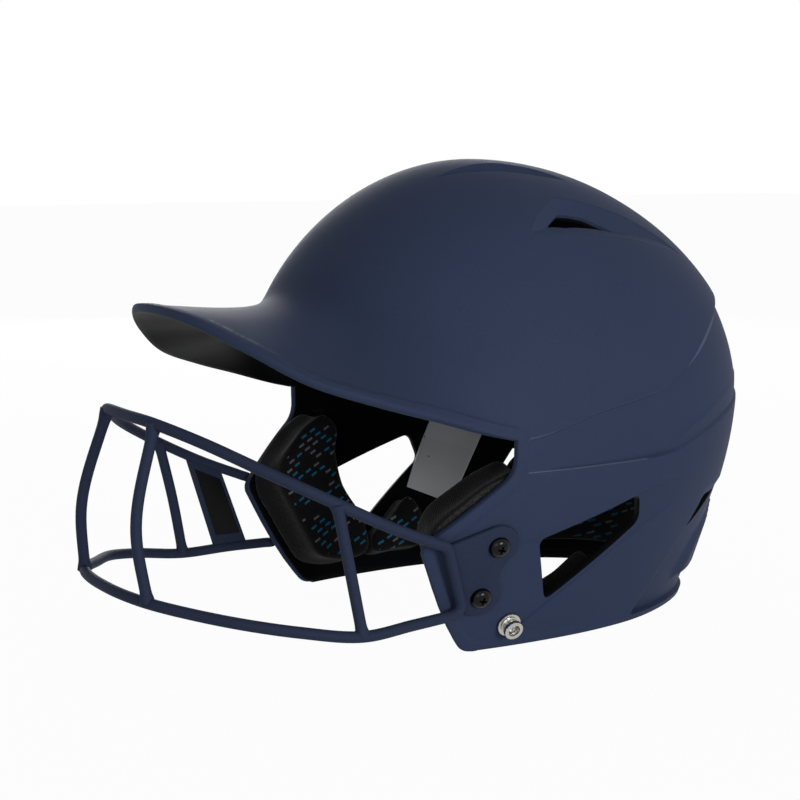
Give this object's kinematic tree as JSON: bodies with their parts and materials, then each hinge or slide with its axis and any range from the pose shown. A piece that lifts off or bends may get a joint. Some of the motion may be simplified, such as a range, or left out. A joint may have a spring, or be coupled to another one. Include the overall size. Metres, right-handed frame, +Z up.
{
  "type": "batting helmet with face guard",
  "caption": "Double-flap batting helmet with visor, ear windows, vents, foam pads and a bolted steel-wire face guard with label plate.",
  "frame": {"origin": "on the surface that the helmet stands on, below the middle of its overall box", "axes": "-Y is the way the helmet faces, +X is the wearer's left and +Z is up; x = 0 is the plane of symmetry"},
  "size_m": [0.2082, 0.3391, 0.218],
  "materials": {
    "shell": "matte moulded shell in navy blue",
    "guard": "coated steel wire and plate in the shell's navy blue",
    "black_screw": "black oxide",
    "black_label": "bare black label",
    "stud": "bright nickel",
    "steel": "zinc plated",
    "foam": "black open foam with a black lining fabric",
    "grey_label": "silver grey label, left blank"
  },
  "bodies": {
    "root": {"shell": "shell", "guard_hoop": "guard", "guard_center_bar_left": "guard", "guard_center_bar_right": "guard", "guard_side_bar_left": "guard", "guard_side_bar_right": "guard", "guard_label_plate": "guard", "guard_label": "black_label", "guard_tab_left": "guard", "guard_tab_right": "guard", "guard_screws": "black_screw", "guard_tee_nuts": "steel", "strap_stud_left": "stud", "strap_stud_right": "stud", "stud_screws": "stud", "stud_nuts": "steel", "jaw_pad_left": "foam", "jaw_pad_right": "foam", "ear_pad_left": "foam", "ear_pad_right": "foam", "side_pad_left": "foam", "side_pad_right": "foam", "brow_pad": "foam", "crown_pad": "foam", "nape_pad": "foam", "inside_label": "grey_label"}
  },
  "joints": []
}
